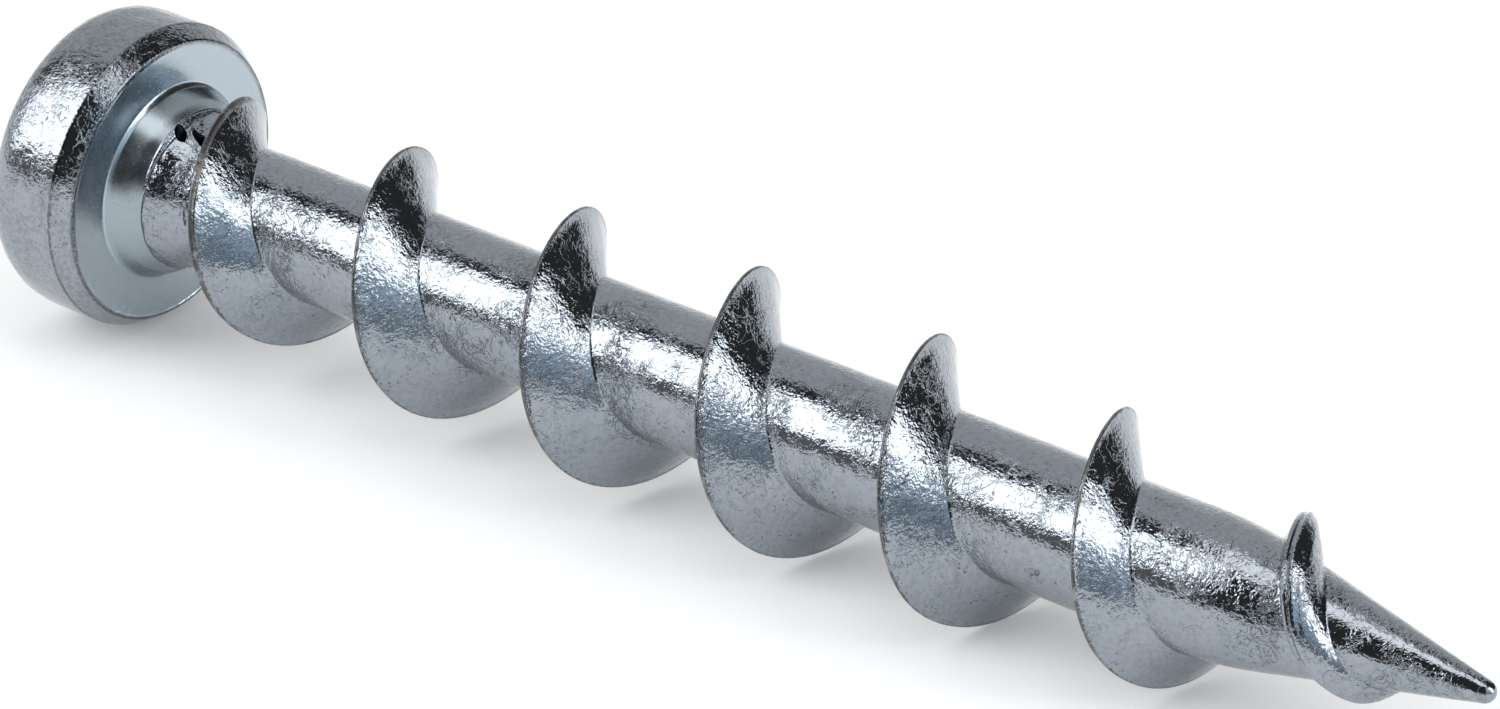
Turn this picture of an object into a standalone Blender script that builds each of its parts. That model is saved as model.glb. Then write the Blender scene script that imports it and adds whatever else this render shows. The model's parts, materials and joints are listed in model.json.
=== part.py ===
"""Self-drilling drywall anchor: one cold-formed, zinc-plated steel screw with a deep auger thread.

Metres, +Z up. The anchor lies as it comes to rest, on the rim of its head and on one crest of
its thread. The origin is on the surface that it lies on, under the middle of its bounding box,
and +X runs from the head to the tip.

Each shape is drawn in the anchor's own lengthwise frame: X runs along the axis from the bearing
face under the head, where it is zero, towards the tip. The object then carries the resting pose.
"""

from math import asin, atan2, ceil, cos, floor, pi, radians, sin

import bmesh
import bpy
from mathutils import Euler, Vector

MM = 0.001

# Head: a thick round head with a rounded outer edge and a chamfer on its bearing side
HEAD_RADIUS = 3.98 * MM
HEAD_HEIGHT = 2.80 * MM
HEAD_ROUND = 0.95 * MM
CHAMFER_HEIGHT = 0.45 * MM
CHAMFER_WIDTH = 0.34 * MM

# Cross recess in the outer face
RECESS_SPAN = 4.30 * MM
RECESS_WING = 0.95 * MM
RECESS_DEPTH = 1.90 * MM
RECESS_FLOOR_SPAN = 2.00 * MM
RECESS_FLOOR_WING = 0.70 * MM
RECESS_POINT = 0.35 * MM

# Collar and neck under the head
COLLAR_RADIUS = 2.36 * MM
COLLAR_FILLET = 0.16 * MM
COLLAR_HEIGHT = 0.85 * MM
COLLAR_TAPER = 0.14 * MM
COLLAR_STEP = 0.10 * MM
NECK_END = 2.45 * MM

# Shank and point: the shank swells slightly as far as a place short of the point
LENGTH_UNDER_HEAD = 38.55 * MM
POINT_LENGTH = 6.65 * MM
POINT_START = LENGTH_UNDER_HEAD - POINT_LENGTH
POINT_EASE = 1.20 * MM
TIP_RADIUS = 0.27 * MM
SHANK_RADIUS = 1.62 * MM
SHANK_SWELL = 0.06 * MM
SWELL_TO_POINT = 2.90 * MM
SWELL_END = POINT_START - SWELL_TO_POINT

# Thread: right-handed, one start, its lead closing up slightly towards the tip
THREAD_START = 0.46 * MM
THREAD_TO_TIP = 1.2765 * MM
LEAD_AT_HEAD = 5.37 * MM
LEAD_AT_TIP = 5.00 * MM
MEAN_LEAD = (LEAD_AT_HEAD + LEAD_AT_TIP) / 2.0
THREAD_TURNS = (LENGTH_UNDER_HEAD - THREAD_START - THREAD_TO_TIP) / MEAN_LEAD
CREST_FIRST = 2.62 * MM
CREST_SHOULDER = 2.95 * MM
CREST_FULL = 3.15 * MM
CREST_LAST = 2.45 * MM
CREST_RUN_OUT = 1.30 * MM
CREST_WIDTH = 0.10 * MM
CREST_WIDTH_ENDS = 0.28 * MM
HEAD_FLANK = 0.34 * MM
TIP_FLANK = 1.06 * MM
ROOT_SINK = 0.40 * MM

# Turns, counted from the start of the thread, at which its crest has those radii,
# and the share of a turn over which its crest widens at both ends
TURN_FIRST = 0.16
TURN_SHOULDER = 0.62
TURN_FULL = 3.40
TURN_LAST = THREAD_TURNS - 0.92
TURN_RUN_OUT = THREAD_TURNS - 0.44
TURN_WIDENS = 0.90

# The turn whose lowest point lies on the floor
TURN_AT_REST = THREAD_TURNS - 2.305

# Facets
TURNING_FACETS = 40
THREAD_FACETS = 32
ROUND_STEPS = 5
NECK_STEPS = 4
POINT_STEPS = 3
TIP_STEPS = 3

DOWN = -pi / 2
ZINC = (0.60, 0.63, 0.66, 1.0)


def ease(value):
    """A smooth step from 0 to 1."""
    value = min(max(value, 0.0), 1.0)
    return value * value * (3.0 - 2.0 * value)


def between(low, high, share):
    return low + (high - low) * share


def arc(centre, radius, start, end, steps):
    """Points (along, radius) on an arc, both ends included."""
    return [
        (centre[0] + radius * cos(between(start, end, k / steps)),
         centre[1] + radius * sin(between(start, end, k / steps)))
        for k in range(steps + 1)
    ]


def neck_foot_radius():
    return COLLAR_RADIUS - COLLAR_TAPER - COLLAR_STEP


def point_slope():
    """The point's half angle: its side is tangent to the rounded tip."""
    run = LENGTH_UNDER_HEAD - TIP_RADIUS - POINT_START
    reach = (run ** 2 + (SHANK_RADIUS + SHANK_SWELL) ** 2) ** 0.5
    return atan2(SHANK_RADIUS + SHANK_SWELL, run) - asin(TIP_RADIUS / reach)


def point_radius(along):
    """The point's cone, without its rounded tip."""
    slope = point_slope()
    return SHANK_RADIUS + SHANK_SWELL - (along - POINT_START) * sin(slope) / cos(slope)


def core_radius(along):
    """Radius of the body without its thread, at a distance from the bearing face."""
    if along < COLLAR_HEIGHT:
        return COLLAR_RADIUS - COLLAR_TAPER * max(along, 0.0) / COLLAR_HEIGHT
    if along < NECK_END:
        share = (along - COLLAR_HEIGHT) / (NECK_END - COLLAR_HEIGHT)
        return between(neck_foot_radius(), SHANK_RADIUS, 1.0 - (1.0 - share) ** 2)
    swelling = SHANK_RADIUS + SHANK_SWELL * ease((along - NECK_END) / (SWELL_END - NECK_END))
    if along < POINT_START - POINT_EASE:
        return swelling
    if along < POINT_START + POINT_EASE:
        share = (along - POINT_START + POINT_EASE) / (2.0 * POINT_EASE)
        fall = swelling - point_radius(POINT_START + POINT_EASE)
        return swelling - fall * share * share
    return max(point_radius(along), 0.0)


def body_outline():
    """Half section of the body, as (along, radius) from the outer face's middle to the tip."""
    points = [(-HEAD_HEIGHT, 0.0)]
    points += arc((HEAD_ROUND - HEAD_HEIGHT, HEAD_RADIUS - HEAD_ROUND), HEAD_ROUND,
                  pi, pi / 2, ROUND_STEPS)
    points += [(-CHAMFER_HEIGHT, HEAD_RADIUS), (0.0, HEAD_RADIUS - CHAMFER_WIDTH)]
    points += arc((COLLAR_FILLET, COLLAR_RADIUS + COLLAR_FILLET), COLLAR_FILLET,
                  -pi, -pi / 2, 2)
    points += [(COLLAR_HEIGHT, COLLAR_RADIUS - COLLAR_TAPER)]
    for k in range(NECK_STEPS + 1):
        along = between(COLLAR_HEIGHT, NECK_END, k / NECK_STEPS)
        points.append((along, core_radius(along)))
    points += [(SWELL_END, core_radius(SWELL_END))]
    for k in range(POINT_STEPS + 1):
        along = between(POINT_START - POINT_EASE, POINT_START + POINT_EASE, k / POINT_STEPS)
        points.append((along, core_radius(along)))
    points += arc((LENGTH_UNDER_HEAD - TIP_RADIUS, 0.0), TIP_RADIUS,
                  pi / 2 - point_slope(), 0.0, TIP_STEPS)
    points[-1] = (LENGTH_UNDER_HEAD, 0.0)
    return points


def around(along, radius, angle):
    """A point at an angle about the axis, counted from +Y towards +Z."""
    return Vector((along, radius * cos(angle), radius * sin(angle)))


def new_object(name, work, parent=None):
    mesh = bpy.data.meshes.new(name)
    bmesh.ops.recalc_face_normals(work, faces=work.faces[:])
    work.to_mesh(mesh)
    work.free()
    mesh.shade_smooth()
    mesh.set_sharp_from_angle(angle=radians(32.0))
    made = bpy.data.objects.new(name, mesh)
    made.parent = parent
    bpy.context.scene.collection.objects.link(made)
    return made


def close_ring(work, low, high):
    """Faces between two neighbouring rings; a ring of one vertex is a pole."""
    count = max(len(low), len(high))
    for k in range(count):
        corners = [low[k % len(low)], high[k % len(high)],
                   high[(k + 1) % len(high)], low[(k + 1) % len(low)]]
        work.faces.new(list(dict.fromkeys(corners)))


def make_body():
    """The head, collar, neck, shank and point, turned about the axis.

    The facets are placed so that the head lies on the middle of one of them.
    """
    work = bmesh.new()
    rings = []
    for along, radius in body_outline():
        if radius < 1e-9:
            rings.append([work.verts.new(around(along, 0.0, 0.0))])
            continue
        rings.append([
            work.verts.new(around(along, radius, DOWN + 2.0 * pi * (k + 0.5) / TURNING_FACETS))
            for k in range(TURNING_FACETS)
        ])
    for low, high in zip(rings, rings[1:]):
        close_ring(work, low, high)
    return new_object("anchor", work)


def crest_place(turn):
    """Distance of the crest from the bearing face after a number of turns."""
    closing = (LEAD_AT_TIP - LEAD_AT_HEAD) / (2.0 * THREAD_TURNS)
    return THREAD_START + LEAD_AT_HEAD * turn + closing * turn * turn


def fall_away(share):
    """From 0 to 1, quick at last."""
    return share ** 3


def crest_radius(turn):
    """Radius of the crest: it rises out of the neck, fills out, thins and runs out on the point."""
    sunk_start = core_radius(crest_place(0.0)) - ROOT_SINK / 2.0
    sunk_end = core_radius(crest_place(THREAD_TURNS)) - ROOT_SINK / 4.0
    stations = [
        (0.0, sunk_start, ease),
        (TURN_FIRST, CREST_FIRST, ease),
        (TURN_SHOULDER, CREST_SHOULDER, ease),
        (TURN_FULL, CREST_FULL, fall_away),
        (TURN_LAST, CREST_LAST, ease),
        (TURN_RUN_OUT, CREST_RUN_OUT, ease),
        (THREAD_TURNS, sunk_end, ease),
    ]
    for (turn_a, radius_a, shape), (turn_b, radius_b, _) in zip(stations, stations[1:]):
        if turn <= turn_b:
            share = max(turn - turn_a, 0.0) / (turn_b - turn_a)
            return between(radius_a, radius_b, shape(share))
    return sunk_end


def crest_width(turn):
    """Width of the crest's land: the fin is thin, and thicker where it starts and ends."""
    from_start = ease((turn - TURN_FIRST) / TURN_WIDENS)
    from_end = ease((TURN_LAST - turn) / TURN_WIDENS)
    return between(CREST_WIDTH_ENDS, CREST_WIDTH, min(from_start, from_end))


def thread_section(turn):
    """Section of the thread through the axis, as (along, radius), its root sunk in the body."""
    crest = crest_place(turn)
    top = crest_radius(turn)
    height = max(top - core_radius(crest), 0.0)
    size = min(height / (CREST_FULL - SHANK_RADIUS), 1.0) ** 0.5
    reach = max(size, 0.2)
    half = crest_width(turn) / 2.0
    ahead = half + (TIP_FLANK - half) * reach
    behind = half + (HEAD_FLANK - half) * reach
    points = [
        (crest - behind, max(core_radius(crest - behind) - ROOT_SINK, TIP_RADIUS / 4.0)),
        (crest - half, top),
        (crest + half, top),
    ]
    foot = core_radius(crest + ahead)
    points += [
        (crest + ahead, min(foot, top)),
        (crest + ahead * 1.1, max(foot - ROOT_SINK, TIP_RADIUS / 4.0)),
    ]
    return points


def make_thread(parent):
    """The helical fin. One of its sections lies at the point that touches the floor."""
    work = bmesh.new()
    first = ceil((0.0 - TURN_AT_REST) * THREAD_FACETS)
    last = floor((THREAD_TURNS - TURN_AT_REST) * THREAD_FACETS)
    rings = []
    for step in range(first, last + 1):
        angle = DOWN + 2.0 * pi * step / THREAD_FACETS
        section = thread_section(TURN_AT_REST + step / THREAD_FACETS)
        rings.append([work.verts.new(around(along, radius, angle)) for along, radius in section])
    for low, high in zip(rings, rings[1:]):
        close_ring(work, low, high)
    work.faces.new(rings[0])
    work.faces.new(rings[-1])
    work.normal_update()
    bmesh.ops.triangulate(work, faces=work.faces[:])
    return new_object("thread_operand", work, parent)


def cross_ring(work, along, span, wing):
    """The twelve corners of a cross at a distance along the axis."""
    reach = span / 2.0
    half = wing / 2.0
    corners = []
    for quarter in range(4):
        turned = quarter * pi / 2
        for across, up in ((half, half), (reach, half), (reach, -half)):
            corners.append((across * cos(turned) + up * sin(turned),
                            -across * sin(turned) + up * cos(turned)))
    return [work.verts.new((along, across, up)) for across, up in corners]


def make_recess(parent):
    """The cross recess's cutter: tapering wings that end in a shallow point."""
    work = bmesh.new()
    lift = HEAD_ROUND
    widen = lift / RECESS_DEPTH
    rings = [
        cross_ring(work, -HEAD_HEIGHT - lift,
                   RECESS_SPAN + (RECESS_SPAN - RECESS_FLOOR_SPAN) * widen,
                   RECESS_WING + (RECESS_WING - RECESS_FLOOR_WING) * widen),
        cross_ring(work, RECESS_DEPTH - HEAD_HEIGHT, RECESS_FLOOR_SPAN, RECESS_FLOOR_WING),
        [work.verts.new((RECESS_DEPTH + RECESS_POINT - HEAD_HEIGHT, 0.0, 0.0))],
    ]
    for low, high in zip(rings, rings[1:]):
        close_ring(work, low, high)
    work.faces.new(rings[0])
    return new_object("recess_operand", work, parent)


def combine(target, operand, operation):
    modifier = target.modifiers.new(operand.name, "BOOLEAN")
    modifier.object = operand
    modifier.operation = operation
    modifier.solver = "EXACT"
    operand.display_type = "WIRE"
    operand.hide_render = True


def zinc_plate():
    material = bpy.data.materials.new("zinc_plate")
    material.use_nodes = True
    shader = material.node_tree.nodes["Principled BSDF"]
    shader.inputs["Base Color"].default_value = ZINC
    shader.inputs["Metallic"].default_value = 1.0
    shader.inputs["Roughness"].default_value = 0.3
    return material


def corners_of(target):
    """The finished mesh's vertices, in the object's own frame."""
    bpy.context.view_layer.update()
    done = target.evaluated_get(bpy.context.evaluated_depsgraph_get())
    mesh = done.to_mesh()
    points = [vertex.co.copy() for vertex in mesh.vertices]
    done.to_mesh_clear()
    return points


def lay_down(target):
    """Tilt the anchor onto its head's rim and its thread, and put it on the floor."""
    points = corners_of(target)
    heel = min((point for point in points if point.x <= 0.0), key=lambda point: (point.z, -point.x))
    tilt = min(atan2(point.z - heel.z, point.x - heel.x) for point in points if point.x > 0.0)
    turned = Euler((0.0, tilt, 0.0))
    placed = [turned.to_matrix() @ point for point in points]
    low = Vector([min(point[k] for point in placed) for k in range(3)])
    high = Vector([max(point[k] for point in placed) for k in range(3)])
    target.rotation_euler = turned
    target.location = (-(low.x + high.x) / 2.0, -(low.y + high.y) / 2.0, -low.z)


def main():
    for old in list(bpy.data.objects):
        bpy.data.objects.remove(old, do_unlink=True)
    anchor = make_body()
    anchor.data.materials.append(zinc_plate())
    combine(anchor, make_thread(anchor), "UNION")
    combine(anchor, make_recess(anchor), "DIFFERENCE")
    lay_down(anchor)


main()
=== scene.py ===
"""Looks of the self-drilling drywall anchor: its dressed mesh, zinc finish, studio and camera.

Metres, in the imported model's frame. The anchor is drawn in its own lengthwise frame, where X runs
along its axis from the bearing face under the head towards the tip, and is then laid where the
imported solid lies.
"""

import json
from math import asin, atan2, cos, pi, radians, sin, tau

import bpy
import numpy as np
from mathutils import Matrix, Vector


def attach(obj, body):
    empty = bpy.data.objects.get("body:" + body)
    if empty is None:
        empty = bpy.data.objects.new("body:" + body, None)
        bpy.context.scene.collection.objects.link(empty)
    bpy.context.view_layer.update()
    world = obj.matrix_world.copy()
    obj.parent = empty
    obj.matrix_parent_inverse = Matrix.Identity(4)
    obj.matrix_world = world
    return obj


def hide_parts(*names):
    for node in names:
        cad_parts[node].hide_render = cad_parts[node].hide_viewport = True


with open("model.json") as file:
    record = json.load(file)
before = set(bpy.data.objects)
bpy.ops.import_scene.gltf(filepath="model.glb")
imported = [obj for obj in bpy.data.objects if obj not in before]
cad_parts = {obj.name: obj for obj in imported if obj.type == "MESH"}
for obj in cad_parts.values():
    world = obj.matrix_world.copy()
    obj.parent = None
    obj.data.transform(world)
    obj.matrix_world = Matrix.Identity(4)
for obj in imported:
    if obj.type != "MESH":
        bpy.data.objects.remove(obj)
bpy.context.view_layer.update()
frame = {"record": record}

MM = 0.001

# Head, with a rounded outer edge and a chamfer on its bearing side. It is turned in this many
# steps, and no stretch of its outline is longer than this.
HEAD_RADIUS = 3.98 * MM
HEAD_HEIGHT = 2.80 * MM
HEAD_ROUND = 0.95 * MM
CHAMFER_HEIGHT = 0.50 * MM
CHAMFER_WIDTH = 0.31 * MM
RIM_EDGE = 0.05 * MM
HEAD_STEPS = 192
HEAD_STRETCH = 0.30 * MM

# Cross recess in the outer face. Its cutter starts a little outside the face.
RECESS_SPAN = 4.30 * MM
RECESS_WING = 0.95 * MM
RECESS_DEPTH = 1.90 * MM
RECESS_FLOOR_SPAN = 2.00 * MM
RECESS_FLOOR_WING = 0.70 * MM
RECESS_POINT = 0.35 * MM
RECESS_LIFT = 0.40 * MM
RECESS_BEVEL = 0.06 * MM

# Collar and neck: a cone with a small lip at its foot and a steep shoulder
COLLAR_FOOT = 2.56 * MM
COLLAR_FOOT_ROUND = 0.06 * MM
COLLAR_LIP = 2.47 * MM
COLLAR_LIP_HEIGHT = 0.11 * MM
COLLAR_LIP_ROUND = 0.03 * MM
COLLAR_SHOULDER = 2.28 * MM
SHOULDER_HEIGHT = 0.52 * MM
SHOULDER_ROUND = 0.08 * MM
COLLAR_END = 2.07 * MM
COLLAR_HEIGHT = 0.82 * MM
COLLAR_END_ROUND = 0.04 * MM
NECK_RADIUS = 2.05 * MM
NECK_START = 0.94 * MM
NECK_END = 2.45 * MM

# The crease where the collar ends drifts towards the tip on the side that the photo shows
CREASE_DRIFT = 0.16 * MM
CREASE_FROM = 0.30 * MM
CREASE_MIDDLE = radians(108.0)
CREASE_REACH = radians(70.0)

# Shank and point
LENGTH_UNDER_HEAD = 38.55 * MM
POINT_START = 31.90 * MM
POINT_EASE = 1.20 * MM
TIP_RADIUS = 0.27 * MM
SHANK_RADIUS = 1.62 * MM
SHANK_SWELL = 0.06 * MM
SWELL_END = 29.00 * MM

# Thread: right-handed, one start, its lead closing up towards the tip. A low flank keeps at least
# this share of its full width.
THREAD_TURNS = 7.10
THREAD_START = 0.46 * MM
LEAD_AT_HEAD = 5.37 * MM
LEAD_AT_TIP = 5.00 * MM
CREST_FIRST = 2.62 * MM
CREST_SHOULDER = 2.95 * MM
CREST_FULL = 3.15 * MM
CREST_LAST = 2.34 * MM
CREST_RUN_OUT = 1.30 * MM
CREST_WIDTH = 0.10 * MM
CREST_WIDTH_START = 0.26 * MM
CREST_DOME = 0.035 * MM
HEAD_FLANK = 0.34 * MM
TIP_FLANK = 1.06 * MM
HEAD_ROOT_ROUND = 0.10 * MM
TIP_ROOT_ROUND = 0.07 * MM
LEAST_REACH = 0.2

# Where the crest changes, in turns from the thread's start. The anchor lies on the crest at
# TURN_AT_REST, straight down, and a quarter turn on from there the crest points along +Y.
TURN_FIRST = 0.16
TURN_SHOULDER = 0.62
TURN_FULL = 3.40
TURN_LAST = 6.18
TURN_RUN_OUT = 6.72
TURN_WIDENS = 0.90
TURN_AT_REST = 4.795
TURN_AT_Y = TURN_AT_REST + 0.25

# The crest is uneven: places in turns, their reach in turns and their rise in millimetres
CREST_SWELLS = ((1.33, 0.14, 0.12), (1.66, 0.24, 0.15), (2.58, 0.22, 0.08), (3.27, 0.12, 0.09),
                (4.28, 0.14, 0.10), (4.62, 0.12, 0.06), (5.22, 0.26, 0.16), (5.82, 0.16, 0.14))

# The first turn's land has one groove. Near the point the crest is rolled over into a broad fold,
# which falls off from its ridge and has two grooves: place across the land, reach, share of depth.
START_GROOVE = 0.05 * MM
START_GROOVE_TO = 1.05
START_GROOVE_RAMP = 0.4
START_GROOVE_PLACE = -0.1
START_GROOVE_REACH = 0.55
FOLD_FROM = 6.00
FOLD_TO = 6.84
FOLD_WIDTH = 0.64 * MM
FOLD_SHIFT = 0.17 * MM
FOLD_FALL = 0.16 * MM
FOLD_GROOVE = 0.050 * MM
FOLD_RAMP = 0.30
FOLD_RIDGE = -0.1
FOLD_GROOVES = ((-0.50, 0.26, 1.0), (0.30, 0.24, 0.6))

# The rod is screwed with one mean lead and then given its true spacing. Each lead of its line
# begins this share of a lead before the crest and ends this share of one behind it, and points
# this close to its border count as its own.
SCREW_LEAD = 5.20 * MM
SCREW_STEPS = 144
LAND_STEPS = 16
SCREW_TURNS = 9
SCREW_FROM = TURN_AT_Y - 6.0
LEAD_BEFORE = 0.35
LEAD_BEHIND = 0.65
BORDER = 1e-6
ROD_STRETCH = 0.24 * MM
ROD_FROM = 0.20 * MM
ROD_TO = LENGTH_UNDER_HEAD - 0.95 * MM
TIP_STEPS = 7
TIP_FLAT = 0.12

# Points closer than this are merged, a cut takes in points this close to it, faces that meet at
# less than this angle are shaded as one, and a face lies along a direction from this cosine up
SAME_POINT = 1e-7
CUT_REACH = 0.001 * MM
SMOOTH_ANGLE = radians(38.0)
LIES_ALONG = 0.9

# Pits and cracks: along the axis, angle about it, distance from it, then length, width and depth
# in millimetres, and a turn out of the axis's direction in degrees
MARKS = (
    (1.00, 111.0, 2.10, (0.30, 0.50, 0.60), 40.0),
    (1.48, 105.0, 2.02, (0.80, 0.30, 0.70), -18.0),
    (1.55, 114.0, 1.98, (1.05, 0.07, 0.16), 2.0),
    (1.08, 176.0, 2.07, (0.12, 0.75, 0.10), -28.0),
    (1.92, 174.0, 1.70, (0.09, 0.52, 0.08), 12.0),
    (1.35, 152.0, 1.92, (0.10, 0.55, 0.09), 35.0),
)
MARK_RAGGED = 0.30

# What the plating is told of each point: its depth below the crest, in millimetres, and whether
# it lies in a pit. The first turn's land counts as crest in full, and the fold, the run-out and
# the collar don't count as crest.
FIRST_LAND_TO = 1.12
FIRST_LAND_DEPTH = 0.12
FIRST_LAND_REACH = 0.07 * MM
FOLD_COUNTS_FROM = 0.1
RUN_OUT_TURNS = 0.15
ON_CREST = -0.1
OFF_CREST = 3.0
PIT_EDGE = 0.12 * MM

# How far the bearing face's mount lies from the axis
MOUNT_FROM_AXIS = 3.08 * MM

# Where the plating changes, in millimetres along the axis and out from it. Each change fades.
HEAD_SIDE_ENDS = (-0.05, -0.01)
FACE_ENDS = (0.02, 0.05)
COLLAR_ENDS = (0.80, 0.86)
FACE_RIM = (3.53, 3.63)
CRACKS_WITHIN = (1.75, 1.9)
OUTER_EDGE = -0.50
OUTER_EDGE_RIM = (3.80, 3.90)
INNER_EDGE = 3.66
INNER_EDGE_STARTS = (-0.09, -0.05)
INNER_EDGE_ENDS = (0.10, 0.15)
EDGE_WANDER = 0.06
BUMP_DISTANCE = 0.026 * MM

# The plating's colours
ZINC = (0.322, 0.348, 0.384, 1.0)
ZINC_PATCH = (0.304, 0.338, 0.376, 1.0)
ZINC_GRAIN = (0.150, 0.155, 0.165, 1.0)
ZINC_SATIN = (0.325, 0.375, 0.410, 1.0)
# Painted sheen: the bearing face is given a brighter colour than the zinc, standing in for a brighter
# reflection
BEARING_FACE_PAINTED_SHEEN = (0.450, 0.515, 0.565, 1.0)
BROWN_STAIN = (0.24, 0.215, 0.18, 1.0)
DARK_SPECK = (0.085, 0.08, 0.075, 1.0)
EDGE_LINE = (0.10, 0.105, 0.11, 1.0)
DARK_CREST_LAND = (0.10, 0.095, 0.085, 1.0)
# Painted shade: the pits on the neck are coloured near black
PIT_PAINTED_SHADE = (0.012, 0.012, 0.012, 1.0)

# The photo's camera, fitted to the thread
CAMERA_AIM = Vector((0.425, 0.0, 4.656)) * MM
CAMERA_DISTANCE = 135.87 * MM
CAMERA_AZIMUTH = radians(37.14)
CAMERA_ELEVATION = radians(27.09)
CAMERA_LENS = 139.28
CAMERA_SENSOR = 36.0
CAMERA_CLIPS = (0.005, 10.0)

# The studio. A panel's levels are (share of its height, brightness), from its lower edge up.
PANEL_DISTANCE = 0.5
PANEL_CUTS = 15
BRIGHT = [(0.0, 3.6)]
OVERHEAD = [(0.0, 2.0)]
BLUE_SWEEP = [(0.0, 0.32), (0.2, 0.38), (0.38, 0.72), (0.7, 1.00), (1.0, 1.8)]
BLUE = (0.80, 0.98, 1.16)
DARK = [(0.0, 0.05)]
DIM = [(0.0, 0.22)]
AIR_COLOUR = (0.97, 0.99, 1.0, 1.0)
AIR_LEVEL = 0.70
FLOOR_RADIUS = 1.2
FLOOR_GREY = (0.80, 0.80, 0.80, 1.0)
FLOOR_LIFT = (0.16, 0.16, 0.16, 1.0)
BLACK = (0.0, 0.0, 0.0, 1.0)


def ease(value):
    """A smooth step from 0 to 1, for a number or an array."""
    value = np.clip(value, 0.0, 1.0)
    return value * value * (3.0 - 2.0 * value)


def between(low, high, share):
    """The value at a share of the way from low to high."""
    return low + (high - low) * share


# The anchor's form

def point_slope():
    """The point's half angle: its side is tangent to the rounded tip."""
    run = LENGTH_UNDER_HEAD - TIP_RADIUS - POINT_START
    base = SHANK_RADIUS + SHANK_SWELL
    return atan2(base, run) - asin(TIP_RADIUS / (run ** 2 + base ** 2) ** 0.5)


def core_radius(along):
    """Radius of the rod without its thread, at distances from the bearing face."""
    neck = np.clip((along - NECK_START) / (NECK_END - NECK_START), 0.0, 1.0)
    necked = between(NECK_RADIUS, SHANK_RADIUS, 1.0 - (1.0 - neck) ** 2)
    swelling = SHANK_SWELL * ease((along - NECK_END) / (SWELL_END - NECK_END))
    shank = np.where(along < NECK_END, necked, SHANK_RADIUS + swelling)
    slope = np.tan(point_slope())
    base = SHANK_RADIUS + SHANK_SWELL
    share = np.clip((along - POINT_START + POINT_EASE) / (2.0 * POINT_EASE), 0.0, 1.0)
    easing = base - POINT_EASE * slope * share ** 2
    cone = base - (along - POINT_START) * slope
    pointed = np.where(share < 1.0, easing, cone)
    return np.maximum(np.where(share > 0.0, pointed, shank), 0.0)


def crest_place(turn):
    """Distance of the crest from the bearing face after a number of turns."""
    closing = (LEAD_AT_TIP - LEAD_AT_HEAD) / (2.0 * THREAD_TURNS)
    return THREAD_START + LEAD_AT_HEAD * turn + closing * turn * turn


def crest_radius(turn):
    """Radius of the crest: it rises out of the neck, fills out, thins and runs out on the point."""
    stations = [
        (0.0, core_radius(crest_place(0.0)), 1),
        (TURN_FIRST, CREST_FIRST, 1),
        (TURN_SHOULDER, CREST_SHOULDER, 1),
        (TURN_FULL, CREST_FULL, 3),
        (TURN_LAST, CREST_LAST, 1),
        (TURN_RUN_OUT, CREST_RUN_OUT, 1),
        (THREAD_TURNS, core_radius(crest_place(THREAD_TURNS)), 1),
    ]
    radius = np.full_like(turn, 0.0)
    for (turn_a, radius_a, power), (turn_b, radius_b, _) in zip(stations, stations[1:]):
        share = np.clip((turn - turn_a) / (turn_b - turn_a), 0.0, 1.0)
        shaped = share ** 3 if power == 3 else ease(share)
        inside = (turn > turn_a) & (turn <= turn_b)
        radius = np.where(inside, between(radius_a, radius_b, shaped), radius)
    for middle, reach, rise in CREST_SWELLS:
        radius = radius + rise * MM * swell((turn - middle) / reach)
    return radius


def swell(value):
    """A smooth hump, 1 in its middle and 0 from -1 and 1 outwards."""
    return ease(1.0 - np.abs(value))


def fold(turn):
    """How far the last turn's crest is folded over, from 0 to 1."""
    return ease((turn - FOLD_FROM) / FOLD_RAMP) * ease((FOLD_TO - turn) / FOLD_RAMP)


def crest_width(turn):
    """Width of the crest's land, which is wider where the thread starts and where it is folded."""
    from_start = ease((turn - TURN_FIRST) / TURN_WIDENS)
    width = between(CREST_WIDTH_START, CREST_WIDTH, from_start)
    return width + (FOLD_WIDTH - CREST_WIDTH) * fold(turn)


def land_relief(turn, across):
    """Ridges and grooves along the crest's land, from its head side (-1) to its tip side (1)."""
    folded = -FOLD_FALL * np.abs(across - FOLD_RIDGE) ** 1.5
    for place, reach, share in FOLD_GROOVES:
        folded = folded - FOLD_GROOVE * share * swell((across - place) / reach)
    groove = -START_GROOVE * swell((across - START_GROOVE_PLACE) / START_GROOVE_REACH)
    return folded * fold(turn) + ease((START_GROOVE_TO - turn) / START_GROOVE_RAMP) * groove


# Modelling steps

def deselect():
    bpy.ops.object.select_all(action="DESELECT")


def choose(target):
    """Makes one object the active one, and the only one that is selected."""
    deselect()
    bpy.context.view_layer.objects.active = target
    target.select_set(True)


def to_edit(target):
    choose(target)
    bpy.ops.object.mode_set(mode="EDIT")


def to_object():
    bpy.ops.object.mode_set(mode="OBJECT")


def rounded(corners, steps=5):
    """A line of (along, radius, rounding) corners, with each rounding worked into a curve."""
    line = []
    count = len(corners)
    for k, (along, radius, rounding) in enumerate(corners):
        here = Vector((along, radius))
        if rounding <= 0.0 or k in (0, count - 1):
            line.append(here)
            continue
        before = (Vector(corners[k - 1][:2]) - here).normalized() * rounding
        after = (Vector(corners[k + 1][:2]) - here).normalized() * rounding
        for step in range(steps + 1):
            share = step / steps
            line.append(here + before * (1.0 - share) ** 2 + after * share ** 2)
    return line


def divided(line, longest):
    """The same line, with its long stretches divided evenly."""
    points = [line[0]]
    for start, end in zip(line, line[1:]):
        cuts = max(1, round((end - start).length / longest + 0.3))
        for cut in range(1, cuts + 1):
            points.append(start.lerp(end, cut / cuts))
    return points


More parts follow.
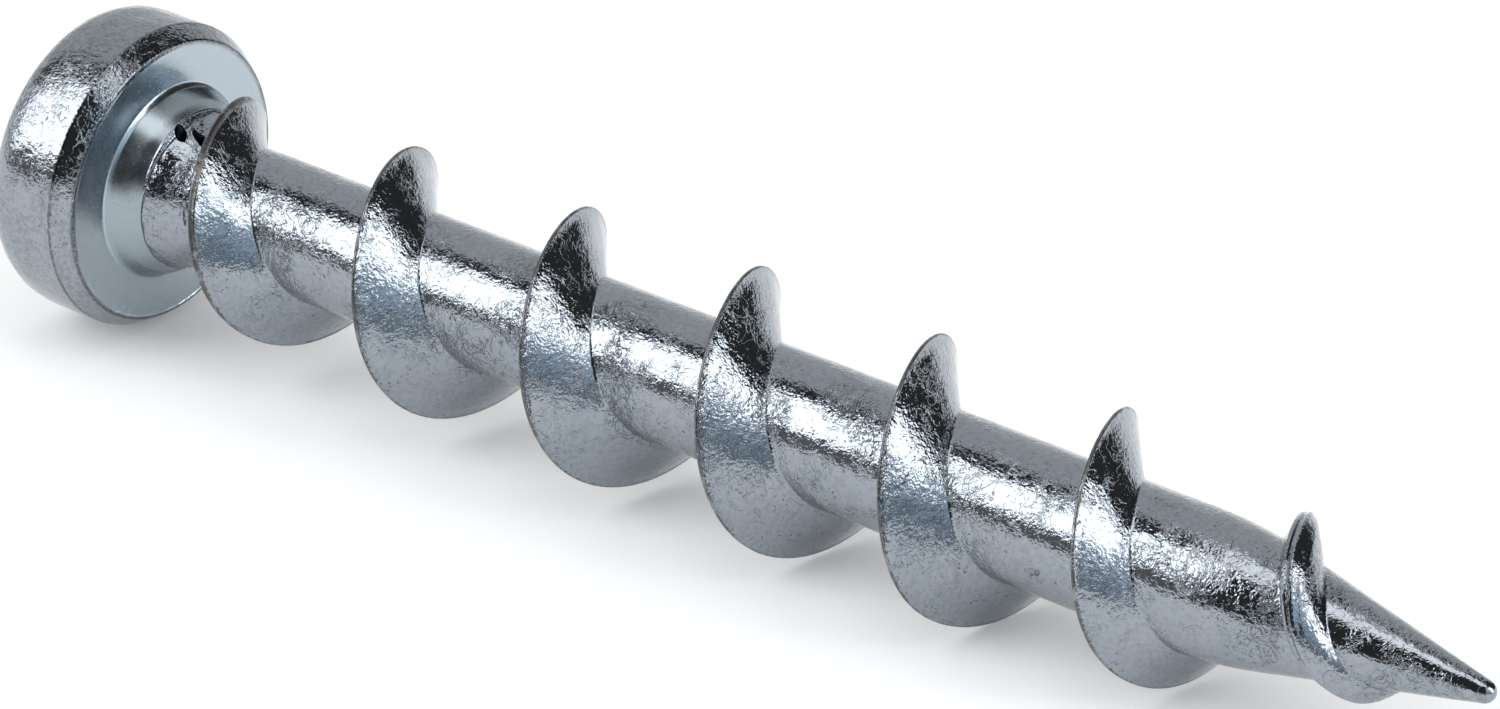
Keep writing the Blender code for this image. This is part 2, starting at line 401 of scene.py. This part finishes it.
def draw_line(name, points):
    """A new object: one line of edges in the XY plane, extruded point by point from one vertex."""
    deselect()
    bpy.ops.mesh.primitive_plane_add(size=MM, location=(points[0].x, points[0].y, 0.0))
    made = bpy.context.object
    made.name = name
    made.data.name = name
    bpy.ops.object.transform_apply(location=True, rotation=True, scale=True)
    bpy.ops.object.mode_set(mode="EDIT")
    bpy.ops.mesh.select_mode(type="VERT")
    bpy.ops.mesh.select_all(action="SELECT")
    bpy.ops.mesh.merge(type="CENTER")
    for start, end in zip(points, points[1:]):
        step = (end.x - start.x, end.y - start.y, 0.0)
        bpy.ops.mesh.extrude_region_move(TRANSFORM_OT_translate={"value": step})
    to_object()
    return made


def apply(target, kind, **settings):
    """Adds a modifier to a piece and applies it."""
    modifier = target.modifiers.new(kind.title(), kind)
    for name, value in settings.items():
        setattr(modifier, name, value)
    choose(target)
    bpy.ops.object.modifier_apply(modifier=modifier.name)


def merge_doubles(target, distance):
    """Merges points that lie this close, and turns all faces outwards."""
    to_edit(target)
    bpy.ops.mesh.select_all(action="SELECT")
    bpy.ops.mesh.remove_doubles(threshold=distance)
    bpy.ops.mesh.normals_make_consistent(inside=False)
    to_object()


def points_of(target):
    """The points of an object's mesh, one row each."""
    flat = np.empty(len(target.data.vertices) * 3)
    target.data.vertices.foreach_get("co", flat)
    return flat.reshape(-1, 3)


def set_points(target, points):
    target.data.vertices.foreach_set("co", points.ravel())
    target.data.update()


def head_outline():
    """Half section of the head and collar, from the outer face's middle round to the axis again."""
    corners = [
        (-HEAD_HEIGHT, 0.0, 0.0),
        (-HEAD_HEIGHT, HEAD_RADIUS, HEAD_ROUND),
        (-CHAMFER_HEIGHT, HEAD_RADIUS, RIM_EDGE),
        (0.0, HEAD_RADIUS - CHAMFER_WIDTH, RIM_EDGE),
        (0.0, COLLAR_FOOT, COLLAR_FOOT_ROUND),
        (COLLAR_LIP_HEIGHT, COLLAR_LIP, COLLAR_LIP_ROUND),
        (SHOULDER_HEIGHT, COLLAR_SHOULDER, SHOULDER_ROUND),
        (COLLAR_HEIGHT, COLLAR_END, COLLAR_END_ROUND),
        (COLLAR_HEIGHT, SHANK_RADIUS, 0.0),
        (COLLAR_HEIGHT, 0.0, 0.0),
    ]
    return divided(rounded(corners), HEAD_STRETCH)


def make_head():
    """The head and the collar, with the collar's drifting crease."""
    head = draw_line("anchor_steel", head_outline())
    apply(head, "SCREW", axis="X", angle=tau, steps=HEAD_STEPS, render_steps=HEAD_STEPS,
          screw_offset=0.0, use_merge_vertices=True, merge_threshold=10 * SAME_POINT,
          use_smooth_shade=True)
    merge_doubles(head, 10 * SAME_POINT)
    points = points_of(head)
    angle = np.arctan2(points[:, 2], points[:, 1])
    drift = CREASE_DRIFT * swell((angle - CREASE_MIDDLE) / CREASE_REACH)
    points[:, 0] += drift * ease((points[:, 0] - CREASE_FROM) / (COLLAR_HEIGHT - CREASE_FROM))
    set_points(head, points)
    return head


def lead_outline():
    """One lead of the rod's outer line, drawn at its nominal size, as (along, radius)."""
    half = CREST_WIDTH / 2.0
    top = CREST_FULL - CREST_DOME
    foot = SHANK_RADIUS
    head_side = [(-LEAD_BEFORE * SCREW_LEAD, foot, 0.0), (-HEAD_FLANK, foot, HEAD_ROOT_ROUND),
                 (-half, top, 0.0)]
    tip_side = [(half, top, 0.0), (TIP_FLANK, foot, TIP_ROOT_ROUND),
                (LEAD_BEHIND * SCREW_LEAD, foot, 0.0)]
    line = divided(rounded(head_side, 4), ROD_STRETCH)[:-1]
    for k in range(LAND_STEPS + 1):
        turned = between(pi, 0.0, k / LAND_STEPS)
        line.append(Vector((half * cos(turned), top + CREST_DOME * sin(turned))))
    return line + divided(rounded(tip_side, 4), ROD_STRETCH)[1:]


def unscrew(points):
    """For points of the screwed rod: their turn, and their distance from the crest along the axis."""
    share = np.arctan2(points[:, 2], points[:, 1]) / tau
    place = points[:, 0] / SCREW_LEAD
    start = SCREW_FROM + share
    turn = start + np.floor(place - start + LEAD_BEFORE + BORDER)
    return turn, (place - turn) * SCREW_LEAD


def true_thread(points):
    """The screwed rod's points, moved to the thread's true spacing, height and width."""
    turn, offset = unscrew(points)
    height = np.hypot(points[:, 1], points[:, 2]) - SHANK_RADIUS
    height = height / (CREST_FULL - SHANK_RADIUS)
    crest = crest_place(turn)
    rise = np.where((turn > 0.0) & (turn < THREAD_TURNS),
                    np.maximum(crest_radius(turn) - core_radius(crest), 0.0), 0.0)
    size = np.minimum(rise / (CREST_FULL - SHANK_RADIUS), 1.0) ** 0.5
    reach = np.maximum(size, LEAST_REACH)
    nominal = CREST_WIDTH / 2.0
    half = crest_width(turn) / 2.0
    side = np.where(offset > 0.0, 1.0, -1.0)
    flank = np.where(offset > 0.0, TIP_FLANK, HEAD_FLANK)
    far = np.where(offset > 0.0, LEAD_BEHIND, LEAD_BEFORE) * SCREW_LEAD
    foot = half + (flank - half) * reach
    away = np.abs(offset)
    on_land = away / nominal * half
    on_flank = half + (away - nominal) / (flank - nominal) * (foot - half)
    on_shank = foot + (away - flank) / (far - flank) * (far - foot)
    placed = np.where(away <= nominal, on_land, np.where(away <= flank, on_flank, on_shank))
    along = crest_place(turn + side * placed / SCREW_LEAD)
    along = along + FOLD_SHIFT * fold(turn) * np.clip(height, 0.0, 1.0)
    radius = core_radius(along) + height * rise
    across = np.clip(offset / nominal, -1.0, 1.0)
    relief = land_relief(turn, across) * np.clip(height, 0.0, 1.0) ** 2
    radius = radius + np.where(rise > 0.0, relief, 0.0)
    angle = np.arctan2(points[:, 2], points[:, 1])
    return np.column_stack((along, radius * np.cos(angle), radius * np.sin(angle)))


def bisect(target, along, keep, fill):
    """Cuts a piece square across the axis and clears one side of the cut."""
    to_edit(target)
    bpy.ops.mesh.select_all(action="SELECT")
    bpy.ops.mesh.bisect(plane_co=(along, 0.0, 0.0), plane_no=(1.0, 0.0, 0.0), use_fill=fill,
                        clear_inner=keep == "after", clear_outer=keep == "before",
                        threshold=CUT_REACH)
    to_object()


def make_tip(rod):
    """Extrudes the rod's open end to the rounded tip, and closes it with a small flat face."""
    to_edit(rod)
    bpy.ops.mesh.select_mode(type="EDGE")
    bpy.ops.mesh.select_all(action="DESELECT")
    bpy.ops.mesh.select_non_manifold()
    slope = point_slope()
    centre = LENGTH_UNDER_HEAD - TIP_RADIUS
    place = ROD_TO
    radius = float(core_radius(np.array(ROD_TO)))
    for step in range(TIP_STEPS):
        turned = between(pi / 2 - slope, TIP_FLAT, step / (TIP_STEPS - 1))
        new_place = centre + TIP_RADIUS * cos(turned)
        new_radius = TIP_RADIUS * sin(turned)
        shrink = new_radius / radius
        move = (new_place - place, 0.0, 0.0)
        bpy.ops.mesh.extrude_edges_move(TRANSFORM_OT_translate={"value": move})
        bpy.ops.transform.resize(value=(1.0, shrink, shrink), center_override=(new_place, 0.0, 0.0))
        place = new_place
        radius = new_radius
    bpy.ops.mesh.edge_face_add()
    to_object()


def make_rod():
    """The shank with its thread, neck and point."""
    start = SCREW_FROM * SCREW_LEAD
    line = [Vector((point.x + start, point.y)) for point in lead_outline()]
    rod = draw_line("rod", line)
    apply(rod, "SCREW", axis="X", angle=tau, steps=SCREW_STEPS, render_steps=SCREW_STEPS,
          screw_offset=SCREW_LEAD, iterations=SCREW_TURNS, use_smooth_shade=True)
    merge_doubles(rod, 2 * SAME_POINT)
    set_points(rod, true_thread(points_of(rod)))
    bisect(rod, ROD_FROM, "after", True)
    bisect(rod, ROD_TO, "before", False)
    make_tip(rod)
    to_edit(rod)
    bpy.ops.mesh.select_all(action="SELECT")
    bpy.ops.mesh.normals_make_consistent(inside=False)
    to_object()
    return rod


def select_faces(target, outwards, aside, within):
    """In edit mode, selects the faces that point one way and lie near the middle along another."""
    to_edit(target)
    bpy.ops.mesh.select_mode(type="FACE")
    bpy.ops.mesh.select_all(action="DESELECT")
    to_object()
    for face in target.data.polygons:
        points_out = face.normal.dot(outwards) > LIES_ALONG
        face.select = points_out and abs(face.center.dot(aside)) < within
    bpy.ops.object.mode_set(mode="EDIT")


def make_recess():
    """The cross recess's cutter: a square bar with four arms drawn out of it, tapered to a point."""
    widen = RECESS_LIFT / RECESS_DEPTH
    depth = RECESS_DEPTH + RECESS_LIFT
    top = -HEAD_HEIGHT - RECESS_LIFT
    span = RECESS_SPAN + (RECESS_SPAN - RECESS_FLOOR_SPAN) * widen
    wing = RECESS_WING + (RECESS_WING - RECESS_FLOOR_WING) * widen
    deselect()
    bpy.ops.mesh.primitive_cube_add(size=1.0, location=(top + depth / 2.0, 0.0, 0.0))
    cutter = bpy.context.object
    cutter.name = "recess_operand"
    bpy.ops.transform.resize(value=(depth, wing, wing))
    bpy.ops.object.transform_apply(location=True, rotation=True, scale=True)
    reach = (span - wing) / 2.0
    for across, up in ((1, 0), (0, 1), (-1, 0), (0, -1)):
        select_faces(cutter, Vector((0.0, across, up)), Vector((0.0, up, across)), wing / 4.0)
        step = (0.0, across * reach, up * reach)
        bpy.ops.mesh.extrude_region_move(TRANSFORM_OT_translate={"value": step})
        to_object()
    points = points_of(cutter)
    deep = (points[:, 0] - top) / depth
    narrow = between(1.0, RECESS_FLOOR_SPAN / span, deep)
    thin = between(1.0, RECESS_FLOOR_WING / wing, deep)
    for axis in (1, 2):
        is_reach = np.abs(points[:, axis]) > wing
        points[:, axis] *= np.where(is_reach, narrow, thin)
    set_points(cutter, points)
    select_faces(cutter, Vector((1.0, 0.0, 0.0)), Vector((0.0, 0.0, 0.0)), 1.0)
    bpy.ops.mesh.dissolve_faces()
    bpy.ops.mesh.poke(offset=RECESS_POINT)
    to_object()
    apply(cutter, "BEVEL", width=RECESS_BEVEL, segments=2, limit_method="ANGLE")
    return cutter


def resting_place():
    """The matrix from the anchor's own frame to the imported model's, from the bearing face's mount."""
    mount = next(m for m in frame["record"]["mounts"] if m["name"] == "bearing_face")
    lengthwise = Vector(mount["axis"]).normalized()
    across = Vector((0.0, 1.0, 0.0))
    upward = lengthwise.cross(across)
    middle = Vector(mount["pos_m"]) - upward * MOUNT_FROM_AXIS
    turned = Matrix((lengthwise, across, upward)).transposed().to_4x4()
    return Matrix.Translation(middle) @ turned


def turn_at(points):
    """The turn of the nearest crest for points of the finished anchor. A crest ahead of a point
    counts as three times as far, because the flank on the head's side is the shorter one."""
    share = np.arctan2(points[:, 2], points[:, 1]) / tau
    first = (TURN_AT_Y + share) % 1.0
    turns = first[:, None] + np.arange(8)[None, :]
    ahead = points[:, :1] - crest_place(turns)
    away = np.where(ahead > 0.0, ahead, -3.0 * ahead)
    nearest = away.argmin(axis=1)
    return np.take_along_axis(turns, nearest[:, None], axis=1)[:, 0]


def keep_values(target, name, values):
    """Stores one number for each point, for the plating to use."""
    kept = target.data.attributes.new(name, "FLOAT", "POINT")
    kept.data.foreach_set("value", values.astype(np.float32))


def mark_crest(anchor):
    """Keeps each point's depth below the crest, in millimetres, and how far it lies in a pit."""
    points = points_of(anchor)
    along = points[:, 0]
    radius = np.hypot(points[:, 1], points[:, 2])
    turn = turn_at(points)
    depth = (crest_radius(turn) - radius) / MM
    beside = np.abs(along - crest_place(turn))
    first_land = (turn < FIRST_LAND_TO) & (depth < FIRST_LAND_DEPTH) & (beside < FIRST_LAND_REACH)
    depth = np.where(first_land, ON_CREST, depth)
    runs_out = turn > THREAD_TURNS - RUN_OUT_TURNS
    uncounted = (fold(turn) > FOLD_COUNTS_FROM) | runs_out | (along < COLLAR_HEIGHT)
    keep_values(anchor, "crest_depth", np.where(uncounted, OFF_CREST, depth))
    sunk = ease((core_radius(along) - radius) / PIT_EDGE)
    on_neck = (along > COLLAR_HEIGHT) & (along < NECK_END)
    keep_values(anchor, "pit_depth", np.where(on_neck, sunk, 0.0))


def make_mark(along, angle, radius, size, turned):
    """A ragged lens that cuts a pit or a crack into the steel, from one row of MARKS."""
    deselect()
    bpy.ops.mesh.primitive_ico_sphere_add(subdivisions=2, radius=1.0)
    mark = bpy.context.object
    mark.name = "mark_operand"
    bpy.ops.object.mode_set(mode="EDIT")
    bpy.ops.mesh.select_all(action="SELECT")
    bpy.ops.transform.vertex_random(offset=MARK_RAGGED, seed=4)
    to_object()
    bpy.ops.transform.resize(value=(size[0] * MM / 2.0, size[1] * MM / 2.0, size[2] * MM))
    bpy.ops.object.transform_apply(location=False, rotation=True, scale=True)
    outwards = Matrix.Translation((along * MM, 0.0, radius * MM))
    place = Matrix.Rotation(radians(angle - 90.0), 4, "X") @ outwards
    mark.data.transform(place @ Matrix.Rotation(radians(turned), 4, "Z"))
    return mark


def combine(anchor, operand, operation):
    """Joins an operand to the anchor or cuts it out, and removes the operand."""
    apply(anchor, "BOOLEAN", object=operand, operation=operation, solver="EXACT")
    bpy.data.objects.remove(operand, do_unlink=True)


def make_anchor():
    """The whole anchor as one mesh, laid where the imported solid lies."""
    anchor = make_head()
    combine(anchor, make_rod(), "UNION")
    combine(anchor, make_recess(), "DIFFERENCE")
    for mark in [make_mark(*row) for row in MARKS]:
        combine(anchor, mark, "DIFFERENCE")
    mark_crest(anchor)
    anchor.data.transform(resting_place())
    choose(anchor)
    bpy.ops.object.shade_smooth_by_angle(angle=SMOOTH_ANGLE)
    return anchor


# Materials

class Socket:
    """A shader socket. Sums of sockets and numbers add their Math nodes."""

    def __init__(self, tree, socket):
        self.tree = tree
        self.socket = socket

    def node(self, kind, settings=None, values=None, output=0):
        """A new node of any kind: its settings are made first, then its sockets' values or links."""
        made = self.tree.nodes.new(kind)
        for name, value in (settings or {}).items():
            if name == "stops":
                set_stops(made.color_ramp, value)
            else:
                setattr(made, name, value)
        for name, value in (values or {}).items():
            if isinstance(value, Socket):
                self.tree.links.new(value.socket, made.inputs[name])
            else:
                made.inputs[name].default_value = value
        return Socket(self.tree, made.outputs[output])

    def maths(self, operation, *others):
        values = dict(enumerate((self, *others)))
        return self.node("ShaderNodeMath", {"operation": operation}, values)

    def __add__(self, other):
        return self.maths("ADD", other)

    def __sub__(self, other):
        return self.maths("SUBTRACT", other)

    def __mul__(self, other):
        return self.maths("MULTIPLY", other)

    def __pow__(self, other):
        return self.maths("POWER", other)

    def __neg__(self):
        return self * -1.0

    def __rsub__(self, other):
        return -self + other

    __radd__ = __add__
    __rmul__ = __mul__

    def sibling(self, output):
        """Another output of the same node."""
        return Socket(self.tree, self.socket.node.outputs[output])

    def ranged(self, low, high, new_low=0.0, new_high=1.0):
        """This value, eased from one range to another."""
        settings = {"interpolation_type": "SMOOTHSTEP"}
        values = {"Value": self, "From Min": low, "From Max": high,
                  "To Min": new_low, "To Max": new_high}
        return self.node("ShaderNodeMapRange", settings, values)

    def mixed(self, first, second):
        """Two colours, mixed by this value."""
        return self.node("ShaderNodeMix", {"data_type": "RGBA"}, {0: self, 6: first, 7: second}, 2)


def set_stops(ramp, stops):
    """Sets a colour ramp to grey levels at places from 0 to 1."""
    for place, value in stops[2:]:
        ramp.elements.new(place)
    for element, (place, value) in zip(ramp.elements, stops):
        element.position = place
        element.color = (value, value, value, 1.0)


def new_material(name):
    """A new material. Returns it, its shader and a socket with the Object coordinates."""
    material = bpy.data.materials.new(name)
    material.use_nodes = True
    tree = material.node_tree
    shader = tree.nodes["Principled BSDF"]
    coordinates = tree.nodes.new("ShaderNodeTexCoord")
    return material, shader, Socket(tree, coordinates.outputs["Object"])


def feed(shader, name, value):
    """Sets a shader's input to a value, or links it to a socket."""
    if isinstance(value, Socket):
        value.tree.links.new(value.socket, shader.inputs[name])
    else:
        shader.inputs[name].default_value = value


def zinc_plating():
    """Bright zinc over cold-formed steel: orange peel, thin wrinkles, dark specks and darkened crests.
    """
    material, shader, at = new_material("zinc_plating")
    place = resting_place()
    turned = {"Location": place.translation, "Rotation": place.to_euler()}
    own = at.node("ShaderNodeMapping", {"vector_type": "TEXTURE"}, {"Vector": at, **turned})
    own = own.node("ShaderNodeVectorMath", {"operation": "SCALE"}, {0: own, "Scale": 1.0 / MM})
    along = own.node("ShaderNodeSeparateXYZ", None, {0: own})
    across = along.sibling(1)
    upward = along.sibling(2)
    radius = (across * across + upward * upward) ** 0.5
    depth = at.node("ShaderNodeAttribute", {"attribute_name": "crest_depth"}, None, 2)
    pit = at.node("ShaderNodeAttribute", {"attribute_name": "pit_depth"}, None, 2)

    def speckle(scale, detail=2.0, roughness=0.5, distortion=0.0):
        """A noise from 0 to 1, its scale counted in grains per millimetre."""
        values = {"Vector": own, "Scale": scale, "Detail": detail, "Roughness": roughness,
                  "Distortion": distortion}
        return at.node("ShaderNodeTexNoise", None, values)

    def lines(noise, width):
        """Thin worm-like lines, 1 on them: where a noise crosses its middle."""
        return 1.0 - (noise - 0.5).maths("ABSOLUTE").ranged(0.0, width)

    # Satin on the bearing face and the collar, rough elsewhere
    polished = along.ranged(*HEAD_SIDE_ENDS) * (1.0 - along.ranged(*COLLAR_ENDS))
    polished = polished * (1.0 - radius.ranged(*FACE_RIM))
    # The bearing face gets a painted sheen below: a brighter colour that stands in for reflection
    bearing_face = polished * (1.0 - along.ranged(*FACE_ENDS))
    on_head = 1.0 - along.ranged(*HEAD_SIDE_ENDS)
    rough = 1.0 - polished * 0.93

    # Broad patches and waves, orange peel, thin wrinkles and cracks, specks, scratches and stains
    patches = speckle(0.55)
    peel = speckle(7.5, 2.0, 0.55)
    fine = speckle(16.0, 1.0)
    waves = speckle(1.15)
    coarse = patches.ranged(0.50, 0.62)
    wrinkles = lines(speckle(3.4, 3.0, 0.6, 0.8), 0.045) * speckle(1.1, 1.0).ranged(0.45, 0.60)
    cracked = patches.ranged(0.53, 0.62) * (1.0 - radius.ranged(*CRACKS_WITHIN))
    cracks = lines(speckle(2.2, 4.0, 0.65, 1.6), 0.026) * cracked
    specks = speckle(12.0, 2.0, 0.6).ranged(0.64, 0.70) * speckle(1.3, 1.0).ranged(0.42, 0.58)
    scratches = lines(speckle(1.5, 2.0, 0.5, 0.4), 0.006) * speckle(0.9, 1.0).ranged(0.50, 0.60)
    scratches = scratches * rough
    stains = speckle(5.0, 3.0, 0.6).ranged(0.56, 0.70) * speckle(0.7, 1.0).ranged(0.40, 0.60)
    stains = stains * rough

    # Dark lines along the chamfer's two edges, broken by the grain, and darkened crest lands
    wander = (peel - 0.5) * EDGE_WANDER
    outer_edge = (along - OUTER_EDGE + wander).maths("ABSOLUTE").ranged(0.018, 0.055)
    outer_edge = (1.0 - outer_edge) * radius.ranged(*OUTER_EDGE_RIM)
    inner_edge = (radius - INNER_EDGE + wander).maths("ABSOLUTE").ranged(0.018, 0.050)
    inner_edge = (1.0 - inner_edge) * along.ranged(*INNER_EDGE_STARTS)
    inner_edge = inner_edge * (1.0 - along.ranged(*INNER_EDGE_ENDS))
    edges = outer_edge.maths("MAXIMUM", inner_edge) * fine.ranged(0.30, 0.45)
    dark_crest = 1.0 - (depth + (fine - 0.5) * 0.11).ranged(0.010, 0.045)
    dark_crest = dark_crest * speckle(1.9, 2.0).ranged(0.36, 0.50, 0.35, 1.0)

    height = waves * 1.1 + peel * coarse.ranged(0.0, 1.0, 0.50, 0.95) + fine * 0.24
    height = height + wrinkles * 0.16 - cracks * 0.45 - specks * 0.30 - scratches * 0.2
    bump = at.node("ShaderNodeBump", None, {"Strength": 1.0, "Distance": BUMP_DISTANCE,
                                            "Height": height * rough})
    zinc = patches.ranged(0.35, 0.65).mixed(ZINC, ZINC_PATCH)
    layers = (
        (peel.ranged(0.42, 0.64) * (0.20 + on_head * 0.14), ZINC_GRAIN),
        (polished, ZINC_SATIN),
        (bearing_face, BEARING_FACE_PAINTED_SHEEN),
        (stains * 0.42, BROWN_STAIN),
        (specks.maths("MAXIMUM", cracks) * rough * 0.80, DARK_SPECK),
        (edges.maths("MAXIMUM", scratches * 0.6) * 0.80, EDGE_LINE),
        (dark_crest * 0.85, DARK_CREST_LAND),
        # Painted shade: the pits are coloured near black
        (pit * 0.96, PIT_PAINTED_SHADE),
    )
    for share, colour in layers:
        zinc = share.mixed(zinc, colour)
    gloss = speckle(2.5).ranged(0.3, 0.7, 0.05, 0.11) + polished * patches.ranged(0.3, 0.7, 0.13, 0.19)
    feed(shader, "Base Color", zinc)
    feed(shader, "Metallic", 1.0)
    feed(shader, "Roughness", gloss + dark_crest * 0.25 + specks * 0.2 + pit * 0.6)
    feed(shader, "Normal", bump)
    return material


# Studio

def floor_material():
    """A pale matt floor. What the camera or the metal sees of it is lifted to white."""
    material, shader, first = new_material("pale_floor")
    feed(shader, "Base Color", FLOOR_GREY)
    feed(shader, "Roughness", 1.0)
    feed(shader, "Specular IOR Level", 0.0)
    seen = first.node("ShaderNodeLightPath")
    mirrored = seen.sibling("Is Glossy Ray").maths("MAXIMUM", seen.sibling("Is Transmission Ray"))
    seen = seen.maths("MAXIMUM", mirrored)
    feed(shader, "Emission Color", seen.mixed(BLACK, FLOOR_LIFT))
    feed(shader, "Emission Strength", 1.0)
    return material


def make_floor():
    deselect()
    bpy.ops.mesh.primitive_circle_add(vertices=96, radius=FLOOR_RADIUS, fill_type="NGON")
    floor = bpy.context.object
    floor.name = "floor"
    floor.data.materials.append(floor_material())


def facing(azimuth, elevation):
    """A direction in degrees, its azimuth counted from the tip's side (+X) towards +Y."""
    level = cos(radians(elevation))
    across = radians(azimuth)
    return Vector((level * cos(across), level * sin(across), sin(radians(elevation))))


def along_anchor(share, beta):
    """A direction with a share of its length along +X, and an angle up from the front about X."""
    rest = (1.0 - share ** 2) ** 0.5
    return Vector((share, -rest * cos(radians(beta)), rest * sin(radians(beta))))


def panel_material(name, colour, levels):
    """A panel's material: black, with its own colour and levels of brightness."""
    material, shader, first = new_material(name)
    brightest = max(level for _, level in levels)
    feed(shader, "Base Color", BLACK)
    feed(shader, "Specular IOR Level", 0.0)
    feed(shader, "Emission Strength", brightest)
    shade = (*colour, 1.0)
    if len(levels) > 1:
        place = first.node("ShaderNodeTexCoord", output=2)
        upward = first.node("ShaderNodeSeparateXYZ", None, {0: place}, 1)
        stops = [(where, level / brightest) for where, level in levels]
        shade = first.node("ShaderNodeValToRGB", {"stops": stops}, {0: upward}).mixed(BLACK, shade)
    feed(shader, "Emission Color", shade)
    return material


def panel(name, corners, levels, colour=(1.0, 1.0, 1.0), lights=True):
    """A curved studio panel that shows in the metal. Its corners are directions: lower left and
    right, upper right and left. A dark one is there to be mirrored, and takes no light away."""
    deselect()
    bpy.ops.mesh.primitive_plane_add(size=1.0)
    made = bpy.context.object
    made.name = name
    bpy.ops.object.mode_set(mode="EDIT")
    bpy.ops.mesh.subdivide(number_cuts=PANEL_CUTS)
    to_object()
    points = points_of(made) + 0.5
    low_left, low_right, high_right, high_left = (np.array(corner) for corner in corners)
    across, up = points[:, :1], points[:, 1:2]
    low = between(low_left, low_right, across)
    high = between(high_left, high_right, across)
    spread = between(low, high, up)
    set_points(made, spread / np.linalg.norm(spread, axis=1)[:, None] * PANEL_DISTANCE)
    made.data.materials.append(panel_material(name, colour, levels))
    made.visible_camera = False
    made.visible_shadow = False
    made.visible_diffuse = lights


def make_studio():
    """Pale air, bright softboxes and dark cards, placed where the metal mirrors them in the photo."""
    world = bpy.data.worlds.new("studio_air")
    bpy.context.scene.world = world
    world.use_nodes = True
    background = world.node_tree.nodes["Background"]
    background.inputs["Color"].default_value = AIR_COLOUR
    background.inputs["Strength"].default_value = AIR_LEVEL
    panel("front_softbox", [facing(-105, 27), facing(-148, 6), facing(-162, 56), facing(-104, 62)],
          BRIGHT)
    panel("strip_light", [facing(40, -2), facing(14, -2), facing(-14, 48), facing(5, 62)], BRIGHT)
    panel("side_softbox", [facing(14, -2), facing(-48, -2), facing(-40, 56), facing(-14, 48)],
          BLUE_SWEEP, BLUE)
    panel("back_card", [facing(90, -2), facing(40, -2), facing(5, 62), facing(90, 75)],
          DARK, lights=False)
    panel("overhead_card", [along_anchor(-0.9, 74), along_anchor(-0.24, 74),
                            along_anchor(-0.24, 95), along_anchor(-0.9, 95)], DARK, lights=False)
    panel("overhead_softbox", [along_anchor(-0.24, 66), along_anchor(0.42, 77),
                               along_anchor(0.42, 86), along_anchor(-0.24, 100)], OVERHEAD)
    panel("front_card", [facing(-48, 3), facing(-105, 3), facing(-104, 62), facing(-38, 64)],
          DARK, lights=False)
    panel("low_card", [facing(-105, 0), facing(-154, 0), facing(-148, 6), facing(-105, 27)],
          DIM, lights=False)


def make_camera():
    camera = bpy.data.cameras.new("camera")
    camera.lens = CAMERA_LENS
    camera.sensor_width = CAMERA_SENSOR
    camera.clip_start, camera.clip_end = CAMERA_CLIPS
    made = bpy.data.objects.new("camera", camera)
    bpy.context.scene.collection.objects.link(made)
    level = cos(CAMERA_ELEVATION)
    back = Vector((sin(CAMERA_AZIMUTH) * level, -cos(CAMERA_AZIMUTH) * level, sin(CAMERA_ELEVATION)))
    made.location = CAMERA_AIM + back * CAMERA_DISTANCE
    made.rotation_euler = (-back).to_track_quat("-Z", "Y").to_euler()
    bpy.context.scene.camera = made


make_camera()
make_studio()
make_floor()
steel = make_anchor()
steel.data.materials.clear()
steel.data.materials.append(zinc_plating())
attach(steel, "root")
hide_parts("anchor")

bpy.context.scene.view_settings.view_transform = "Standard"
